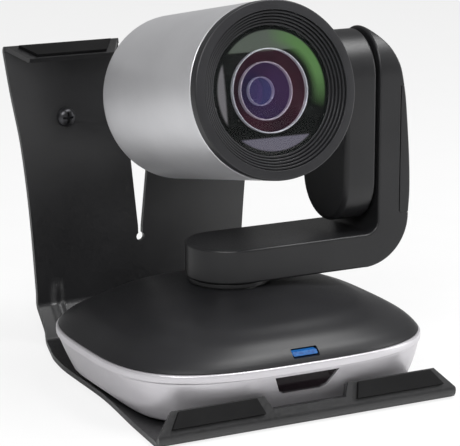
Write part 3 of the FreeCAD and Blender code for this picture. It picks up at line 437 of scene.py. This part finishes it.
def rounded_box(x, z, half_x, half_z, radius, steps=5):
    """A rounded rectangle as (x, z) points."""
    points = []
    for cx, cz, start in ((1, 1, 0), (-1, 1, 90), (-1, -1, 180), (1, -1, 270)):
        for k in range(steps + 1):
            angle = math.radians(start + 90 * k / steps)
            points.append((x + cx * (half_x - radius) + radius * math.cos(angle),
                           z + cz * (half_z - radius) + radius * math.sin(angle)))
    return points


def skirt_lean(z):
    """How far the skirt has drawn in at height z, below its band."""
    return 8.8 * min(1, max(0, (18.3 - z) / 15.3)) ** 0.95


def skirt_loop(z, inset=0.0):
    return squircle(63.05 - skirt_lean(z) - inset, BASE_POWER + 0.22 * skirt_lean(z), z)


WINDOW_SHAPE = [(-12.6, 17.2), (12.6, 17.2), (9.4, 11.2), (7.4, 10.0), (-7.4, 10.0), (-9.4, 11.2)]


def base_skirt():
    """The silver skirt with its bright upper band."""
    def band(half, z):
        return squircle(half, BASE_POWER, z)
    loops = [skirt_loop(3.0, 3.0), skirt_loop(3.0, 0.9), skirt_loop(3.1, 0.3), skirt_loop(3.5)]
    loops += [skirt_loop(3.5 + 14.5 * i / 24) for i in range(1, 25)]
    loops += [skirt_loop(18.2, 0.1), band(63.2, 18.3), band(63.45, 18.45), band(63.6, 18.8), band(63.65, 20.0),
              band(63.6, 20.9), band(63.4, 21.3), band(62.9, 21.5), band(60.4, 21.5), band(60.4, 18.3),
              skirt_loop(18.0, 2.4), skirt_loop(10.0, 2.4), skirt_loop(3.0, 3.0)]
    skirt = build("silver_skirt", *skin(loops, caps=False), PALE, "base", ["base_skirt"], "pale_silver_plastic", sharp=50)
    window = [(x * 1.03, -75.0, z + (0.2 if z > 12 else -0.2)) for x, z in WINDOW_SHAPE]
    port = [(x, 30.0, z) for x, z in rounded_box(0, 11.4, 31, 6.4, 1.0)]
    carve(skirt, [prism(window, (0, 35, 0)), prism(port, (0, 35, 0))], sharp=50)
    bevel(skirt, 0.25, 50)
    return skirt


def ir_window():
    loops = [skirt_loop(9.0 + 9.0 * i / 10, 0.75) for i in range(11)]
    loops += [skirt_loop(18.0 - 9.0 * i / 10, 3.6) for i in range(11)]
    loops.append(loops[0])
    window = build("front_window", *skin(loops, caps=False), WINDOW, "base", ["ir_window"], "window_black", sharp=40)
    shape = [(x, -75.0, z) for x, z in WINDOW_SHAPE]
    carve(window, [prism(shape, (0, 35, 0))], "INTERSECT", sharp=40)
    bevel(window, 0.3, 45)
    return window


def status_light():
    loops = []
    for share, inset in ((1.0, 0.35), (1.0, 2.4)):
        loops.append([cover_loop(share2, smooth_lerp(DOME, share2), inset) for share2 in (1.0, 0.995, 0.985, 0.97, 0.955, 0.94)])
    outer, inner = loops
    strip = outer + inner[::-1] + outer[:1]
    lamp = build("status_bar", *skin(strip, caps=False), LIGHT_BLUE, "base", ["status_light"], "status_blue", sharp=40)
    shape = [(x, -75.0, z) for x, z in rounded_box(0, 24.5, 4.8, 0.7, 0.35)]
    carve(lamp, [prism(shape, (0, 20, 0))], "INTERSECT", sharp=40)
    return lamp


# ---- arm ------------------------------------------------------------------------------------------------
ARM_HALF = 16.5
COVER_Z = (59.4, 108.0)          # the side cover's lower and upper seam
OUTER_X = [(58.5, 68.5), (68, 69.0), (100, 67.0), (114, 64.7), (122, 61.8), (129.4, 56.4)]


def slab(stations, length, half, at, steps=5, end_steps=14):
    """A plate with round ends and rounded edges, mapped by at(s), which gives its two faces and edge radii at s."""
    spots = [("start", 90 * i / end_steps) for i in range(end_steps + 1)]
    spots += [("mid", s) for s in stations]
    spots += [("end", 90 - 90 * i / end_steps) for i in range(end_steps + 1)]
    loops = []
    for kind, value in spots:
        def spot(delta):
            if kind == "mid":
                return value, half - delta
            reach, angle = half - delta, math.radians(value)
            s = half - reach * math.cos(angle)
            return (s if kind == "start" else length - s), reach * math.sin(angle)
        outer, inner, r_out, r_in = at(spot(0)[0])
        thick = (Vector(inner) - Vector(outer)).length
        r_out, r_in = min(r_out, thick * 0.45), min(r_in, thick * 0.45)
        side = []
        for k in range(steps + 1):
            a = math.pi / 2 * k / steps
            side.append((r_out * (1 - math.sin(a)), r_out * (1 - math.cos(a)), 0))
        for k in range(steps + 1):
            a = math.pi / 2 * k / steps
            side.append((r_in * (1 - math.cos(a)), r_in * (1 - math.sin(a)), 1))
        right = []
        for delta, depth, from_inner in side:
            s, y = spot(delta)
            o, i = (Vector(v) for v in at(s)[:2])
            way = (i - o).normalized()
            p = i - way * depth if from_inner else o + way * depth
            right.append((p.x, y, p.y))
        loops.append(right + [(x, -y, z) for x, y, z in reversed(right)])
    return skin(loops)


def arm_faces(s):
    """The arm housing's outer and inner (x, z) faces and edge radii at distance s along the L."""
    if s <= 66:
        inner_x = -16.5 + s if s <= 40 else 23.5 + (s - 40) * 26.3 / 26
        return (-16.5 + s, 39.6), (inner_x, 52.5), 0.8, 1.0
    if s <= 96:
        a = math.radians(90 * (s - 66) / 30)
        outer = (49.5 + 19 * math.sin(a), 58.5 - 19 * math.cos(a))
        inner = (49.8 + 5.2 * math.sin(a), 57.7 - 5.2 * math.cos(a))
    else:
        z = 58.5 + s - 96
        outer = (smooth_lerp(OUTER_X, z), z)
        inner = (55.0, z if z > 90 else 57.7 + (z - 58.5) * 32.3 / 31.5)
    if COVER_Z[0] - 0.2 < outer[1] < COVER_Z[1] + 0.2:
        return (64.15, outer[1]), inner, 0.35, 0.9
    return outer, inner, 0.8, 0.9


def arm():
    stations = [16.5 + 3.0 * i for i in range(16)] + [66 + 1.0 * i for i in range(31)]
    stations += [96 + 1.4 * i for i in range(1, 39)]
    stations += [COVER_Z[0] + 37.3 - 0.21, COVER_Z[0] + 37.3 - 0.19, COVER_Z[1] + 37.7 - 0.01, COVER_Z[1] + 37.7 + 0.01]
    stations = sorted(s for s in stations if 16.5 < s < 150.2)
    return build("arm_shell", *slab(stations, 166.9, ARM_HALF, arm_faces), PLASTIC, "arm", ["arm_housing"],
                 "dark_plastic", sharp=60)


def side_cover():
    """The side cover: what the arm has outside its parting plane, between the two seams."""
    loops = []
    for i in range(77):
        z = COVER_Z[0] + (COVER_Z[1] - COVER_Z[0]) * i / 76
        inner, outer = 64.42, smooth_lerp(OUTER_X, z)
        r_in, r_out = 0.2, 0.8
        right = []
        for k in range(4):
            a = math.pi / 2 * k / 3
            right.append((inner + r_in * (1 - math.cos(a)), ARM_HALF - r_in * (1 - math.sin(a)), z))
        for k in range(6):
            a = math.pi / 2 * k / 5
            back, side = 1 - math.cos(math.pi / 2 - a), 1 - math.sin(math.pi / 2 - a)
            right.append((outer - r_out * back, ARM_HALF - r_out * side, z))
        loops.append(right + [(x, -y, zz) for x, y, zz in reversed(right)])
    return build("arm_cover", *skin(loops), PLASTIC, "arm", ["arm_side_cover"], "dark_plastic", sharp=60)


def pod():
    def faces(s):
        return (53.4, 55.9 + s), (40.5, 55.9 + s), 1.0, 1.8
    length = 128.5 - 55.9
    body = slab([16.5 + (length - 33) * i / 8 for i in range(1, 8)], length, 16.5, faces)
    build("arm_pod", *body, PLASTIC, "arm", ["pod_shell"], "dark_plastic", sharp=60)

    def neck_faces(s):
        return (55.2, 58.1 + s), (52.8, 58.1 + s), 0.2, 0.2
    length = 126.3 - 58.1
    neck = slab([14.3 + (length - 28.6) * i / 4 for i in range(1, 4)], length, 14.3, neck_faces)
    # painted shade: the neck in the groove between pod and arm gets the near-black lens material, not the arm's
    # plastic, so the groove reads dark
    build("arm_neck", *neck, LENS_BLACK, "arm", (), "dark_plastic", sharp=60)


def turntable():
    """The disc between the base and the arm."""
    profile = rounded([(0.0, 37.6), (15.4, 37.6), (15.4, 39.35), (0.0, 39.35)], 0.35)
    build("turntable", *skin(revolved(profile, axis="Z"), caps=False), PLASTIC, "arm", ["turntable_disc"], "dark_plastic")


# ---- head -----------------------------------------------------------------------------------------------
def barrel():
    """The silver barrel with its rear cap."""
    profile = [(29.8, -32.9), (31.55, -32.9), (31.95, -32.55), (32.0, -32.0), (31.99, -30.5)]
    profile += [(32.0 - 0.5 * i / 12, -33.0 + 79.5 * i / 12) for i in range(1, 11)]
    corner = rounded([(31.53, 38.0), (31.5, 46.5), (0.0, 46.9)], {1: 5.5}, 12)
    profile += corner[1:-1] + [(22.0, 46.68), (21.4, 46.4), (20.8, 46.7), (10.0, 46.85), (0.0, 46.9)]
    build("barrel", *skin(revolved(profile, 192), caps=False), SILVER, "head", ["barrel_shell"], "silver_plastic",
          sharp=35, place=HEAD)


def bezel():
    """The stepped black bezel with its grooves."""
    front = -37.2
    profile = [(29.5, -30.2), (31.2, -32.75), (31.8, -32.85), (32.0, -33.15), (32.0, -36.55), (31.85, -36.95), (31.45, front)]
    radius, y = 28.4, front
    steps = []
    while radius > 24.0:
        steps += [(radius, y), (radius, y + 1.7), (radius - 0.32, y + 1.7), (radius - 0.32, y + 0.76)]
        radius, y = radius - 1.03, y + 0.76
    steps += [(23.2, y), (23.2, y + 2.2), (26.0, y + 2.2), (29.5, -30.2)]
    profile += rounded([(31.0, front)] + steps, 0.14, 2)[1:]
    build("bezel", *skin(revolved(profile, 192), caps=False), BEZEL, "head", ["front_bezel"], "bezel_plastic", sharp=55,
          place=HEAD)


def dome_profile(radius, edge_y, rise, count=24, thick=0.8):
    """A glass window's outline: a domed face, its rim and a domed back."""
    sphere = (radius ** 2 + rise ** 2) / (2 * rise)
    face = []
    for i in range(count + 1):
        r = radius * i / count
        face.append((r, edge_y - rise + sphere - math.sqrt(sphere ** 2 - r ** 2)))
    back = [(r, y + thick) for r, y in reversed(face)]
    return face + back


def glasses():
    def window(name, radius, edge_y, rise, material, node, slot, thick=0.8):
        outline = dome_profile(radius, edge_y, rise, thick=thick)
        build(name, *skin(revolved(outline, 128), caps=False), material, "head", [node], slot, sharp=50, place=HEAD)
    window("glass_front", 23.1, -33.4, 2.1, FRONT_GLASS, "front_glass", "clear_glass")
    window("glass_outer", 14.9, -30.5, 1.5, PURPLE_GLASS, "outer_lens", "coated_glass", 1.0)
    window("glass_middle", 10.3, -27.6, 1.3, BLUE_GLASS, "middle_lens", "coated_glass", 1.0)
    window("glass_inner", 5.2, -23.8, 0.8, PALE_GLASS, "inner_lens", "coated_glass", 1.0)


def lens_cell():
    """The stepped cell behind the glass, with its three bright rings, which glow faintly as a painted highlight."""
    outline = [(22.55, -31.8), (15.4, -31.4), (15.4, -28.8), (10.9, -28.4), (10.9, -25.6), (5.6, -24.6), (5.6, -21.2),
               (22.55, -21.2), (22.55, -31.8)]
    build("lens_barrel", *skin(revolved(rounded(outline, 0.2, 2), 128), caps=False), LENS_BLACK, "head", ["lens_cell"],
          "lens_black", sharp=50, place=HEAD)
    for name, seat, bore, y0, y1 in (("outer", 15.1, 14.7, -32.4, -30.6), ("middle", 10.45, 10.05, -29.3, -27.5),
                                     ("inner", 5.15, 4.8, -25.3, -23.5)):
        ring = [(seat, y1), (seat, y0), (bore + 0.12, y0), (bore, y0 + 0.12), (bore, y1), (seat, y1)]
        build("ring_" + name, *skin(revolved(rounded(ring, 0.05, 2), 128), caps=False), GLOWING_RING, "head",
              ["lens_ring_" + name], "bright_ring", sharp=50, place=HEAD)


# ---- bracket --------------------------------------------------------------------------------------------
BRACKET_WIDTH = [(-70, 61.0), (-40, 58.4), (0, 54.5), (30, 54.0), (45, 52.4), (58, 49.2), (71, 45.5)]
BACK_WIDTH = [(18, 45.5), (50, 47.6), (78, 50.6), (100, 54.6), (119, 57.6)]


def bent_path():
    """The bracket's centre line as (y, z) points with arcs at its bends."""
    lip = math.radians(58)
    bend = 2.0
    vertex = (-61.0 - bend * math.tan(math.radians(61)), 1.0)
    corners = [(vertex[0] + 11.6 * math.cos(lip), vertex[1] + 11.6 * math.sin(lip)), vertex, (67.0, 1.0), (79.0, 13.0),
               (79.0, 118.9), (79.0 - 11.2 * math.cos(math.radians(26.6)), 118.9 - 11.2 * math.sin(math.radians(26.6)))]
    line = rounded(corners, {1: bend, 2: 4.0, 3: 4.0, 4: 1.8}, 10)
    fine = []
    for (y0, z0), (y1, z1) in zip(line, line[1:]):
        count = max(1, int(math.hypot(y1 - y0, z1 - z0) / 1.6))
        fine += [(y0 + (y1 - y0) * k / count, z0 + (z1 - z0) * k / count) for k in range(count)]
    return fine + [line[-1]]


def bracket():
    """The one-piece bent sheet with its notch, holes and window gap."""
    path = bent_path()
    loops = []
    columns = 96
    for i, (y, z) in enumerate(path):
        before, after = path[max(0, i - 1)], path[min(len(path) - 1, i + 1)]
        along = Vector((after[0] - before[0], after[1] - before[1])).normalized()
        up = Vector((-along.y, along.x))
        half = bracket_half(y, z)
        top, bottom = [], []
        for j in range(columns + 1):
            x = half * (2 * j / columns - 1)
            rib = rib_height(abs(x), y, z)
            for side, run in ((1, top), (-1, bottom)):
                offset = side * 1.0 + rib
                run.append((x, y + up.x * offset, z + up.y * offset))
        loops.append(top + bottom[::-1])
    plate = build("steel_bracket", *skin(loops), POWDER, "base", ["wall_bracket"], "black_steel", sharp=50)
    slit = [(-0.9, 60, 37), (0.9, 60, 37), (1.0, 60, 41), (9.4, 60, 121), (-9.4, 60, 121), (-1.0, 60, 41)]
    turns = [2 * math.pi * k / 32 for k in range(32)]
    keyhole = [(1.75 * math.cos(a), 60, 36.7 + 1.75 * math.sin(a)) for a in turns]
    gap = [(-14.6, -75, 6.9), (14.6, -75, 6.9), (18.0, -75, 13), (-18.0, -75, 13)]
    cutters = [prism(slit, (0, 30, 0)), prism(keyhole, (0, 30, 0)), prism(gap, (0, 30, 0))]
    for side in (-1, 1):
        turns = [2 * math.pi * k / 24 for k in range(24)]
        hole = [(side * 32 + 2.1 * math.cos(a), 60, 89 + 2.1 * math.sin(a)) for a in turns]
        cutters.append(prism(hole, (0, 30, 0)))
    inner = [(9.4, 77.2, 110), (16.6, 66, 110), (-16.6, 66, 110), (-9.4, 77.2, 110)]
    cutters.append(prism(inner, (0, 0, 20)))
    carve(plate, cutters, sharp=50)
    bevel(plate, 0.45, 50, 3)
    return plate


def bracket_half(y, z):
    """The bracket's half width at a point of its centre line."""
    if z > 13:
        lip = max(0.0, 77.5 - y)
        return smooth_lerp(BACK_WIDTH, min(z, 118.9)) - (0.75 * lip if z > 110 else 0)
    if y < -50 and z > 1.5:
        return 60.2 - max(0, z - 3.8) * 0.98
    return smooth_lerp(BRACKET_WIDTH, y)


def rib_height(x, y, z):
    """How far the pressed stiffening rib stands out at a point of the sheet."""
    across = max(0.0, 1 - ((x - 37.0) / 3.0) ** 2)
    if across <= 0 or y < 60:
        return 0.0
    start = min(1.0, max(0.0, (y - 62.0) / 2.0)) if z < 10 else 1.0
    end = min(1.0, max(0.0, (22.5 - z) / 2.5))
    return 1.1 * min(start, end) * across ** 1.5


def wall_screws():
    """The two cross-recess screws in the back plate."""
    for side in (-1, 1):
        name = "left" if side < 0 else "right"
        profile = [(0.0, 104.0), (0.4, 104.0), (2.0, 100.0), (2.0, 78.0), (3.6, 78.0), (3.85, 77.7), (3.8, 77.0), (3.3, 76.0),
                   (2.3, 75.45), (1.2, 75.2), (0.0, 75.15)]
        loops = [[(x + side * 32, y, z + 89) for x, y, z in loop] for loop in revolved(profile, 48)]
        nodes = ["wall_screws"] if side < 0 else []
        screw = build("wall_screw_" + name, *skin(loops, caps=False), BLACK_SCREW, "base", nodes, "zinc_steel", sharp=45)
        x = side * 32
        slots = [bar(x - 2.2, x + 2.2, 74, 76.6, 88.55, 89.45), bar(x - 0.45, x + 0.45, 74, 76.6, 86.8, 91.2)]
        carve(screw, slots, sharp=45)


base_cover()
base_skirt()
ir_window()
status_light()
arm()
side_cover()
pod()
turntable()
barrel()
bezel()
glasses()
lens_cell()
bracket()
wall_screws()

# ---- carried-over CAD pieces ------------------------------------------------------------------------------
FINISH = {
    "black_steel": POWDER, "zinc_steel": ZINC, "rubber": RUBBER, "dark_plastic": PLASTIC, "bezel_plastic": BEZEL,
    "silver_plastic": SILVER, "pale_silver_plastic": PALE, "gear_plastic": NYLON, "brass": BRASS, "lens_black": LENS_BLACK,
    "bright_ring": GLOWING_RING, "clear_glass": FRONT_GLASS, "coated_glass": PURPLE_GLASS, "circuit_board": BOARD,
    "chip_black": CHIP, "status_blue": LIGHT_BLUE, "window_black": WINDOW,
}
slot_of = {part["node"]: part["material_slot"] for part in frame["record"]["subparts"]}
for node, obj in frame["nodes"].items():
    for index in range(len(obj.material_slots)):
        obj.material_slots[index].material = FINISH[slot_of[node]]
for node in ("front_lip_pads", "top_lip_pads"):
    bevel(frame["nodes"][node], 0.35, 40, 3)

# ---- stage ------------------------------------------------------------------------------------------------
def lit_for_camera(tree, seen, felt):
    """A closure that is seen by the camera, and another that lights and mirrors in the object."""
    path, mix = tree.nodes.new("ShaderNodeLightPath"), tree.nodes.new("ShaderNodeMixShader")
    tree.links.new(path.outputs["Is Camera Ray"], mix.inputs["Fac"])
    tree.links.new(felt, mix.inputs[1])
    tree.links.new(seen, mix.inputs[2])
    return mix.outputs["Shader"]


def floor_material():
    """A pale paper floor that the camera sees nearly white, with soft contact shadows."""
    mat = textured("pale_floor", (0.80, 0.80, 0.80), (0.84, 0.84, 0.84), 0.6, 40, 0.02, broad=3, strength=0.05)
    tree = mat.node_tree
    white, blend = tree.nodes.new("ShaderNodeEmission"), tree.nodes.new("ShaderNodeMixShader")
    white.inputs["Color"].default_value = (1, 1, 1, 1)
    paper = tree.nodes["Principled BSDF"].outputs["BSDF"]
    blend.inputs["Fac"].default_value = 0.8
    tree.links.new(paper, blend.inputs[1])
    tree.links.new(white.outputs["Emission"], blend.inputs[2])
    shown = lit_for_camera(tree, blend.outputs["Shader"], paper)
    tree.links.new(shown, tree.nodes["Material Output"].inputs["Surface"])
    return mat


def studio_world():
    """A white backdrop that lights the object only softly."""
    world = bpy.data.worlds.new("studio")
    world.use_nodes = True
    tree = world.node_tree
    seen, felt = tree.nodes["Background"], tree.nodes.new("ShaderNodeBackground")
    seen.inputs["Color"].default_value = (1, 1, 1, 1)
    seen.inputs["Strength"].default_value = 1.0
    felt.inputs["Color"].default_value = (1, 1, 1, 1)
    felt.inputs["Strength"].default_value = 0.24
    shown = lit_for_camera(tree, seen.outputs["Background"], felt.outputs["Background"])
    tree.links.new(shown, tree.nodes["World Output"].inputs["Surface"])
    return world


def stage():
    mesh = bpy.data.meshes.new("floor")
    mesh.from_pydata([(-8, -8, -0.0002), (8, -8, -0.0002), (8, 8, -0.0002), (-8, 8, -0.0002)], [], [(0, 1, 2, 3)])
    mesh.materials.append(floor_material())
    floor = bpy.data.objects.new("floor", mesh)
    bpy.context.scene.collection.objects.link(floor)
    bpy.context.scene.world = studio_world()
    bpy.context.scene.view_settings.view_transform = "Standard"
    lamp("key", (-0.45, -0.55, 0.65), (0, 0, 0.07), 0.5, 0.35, 6)
    lamp("top", (0.36, -0.20, 0.86), (0, 0, 0.07), 0.6, 0.35, 7)
    lamp("right", (0.75, -0.35, 0.3), (0, 0, 0.08), 0.2, 0.6, 2.5)


def lamp(name, place, target, width, height, power):
    data = bpy.data.lights.new(name, "AREA")
    data.shape, data.size, data.size_y, data.energy = "RECTANGLE", width, height, power
    obj = bpy.data.objects.new(name, data)
    obj.location = place
    obj.rotation_euler = (Vector(place) - Vector(target)).to_track_quat("Z", "Y").to_euler()
    bpy.context.scene.collection.objects.link(obj)


def camera():
    """The camera stands in front, 27.7 degrees round to the left and 13.6 degrees up."""
    side, rise, away = math.radians(27.66), math.radians(13.6), 797.4
    look = Vector((math.sin(side) * math.cos(rise), math.cos(side) * math.cos(rise), -math.sin(rise)))
    data = bpy.data.cameras.new("camera")
    data.lens, data.sensor_width = 167.2, 36.0
    data.shift_x, data.shift_y = -0.0089, -0.0061
    data.clip_start, data.clip_end = 0.05, 50
    obj = bpy.data.objects.new("camera", data)
    obj.location = (Vector((2.1, 0, 59.9)) - look * away) * MM
    obj.rotation_euler = look.to_track_quat("-Z", "Y").to_euler()
    bpy.context.scene.collection.objects.link(obj)
    bpy.context.scene.camera = obj


stage()
camera()
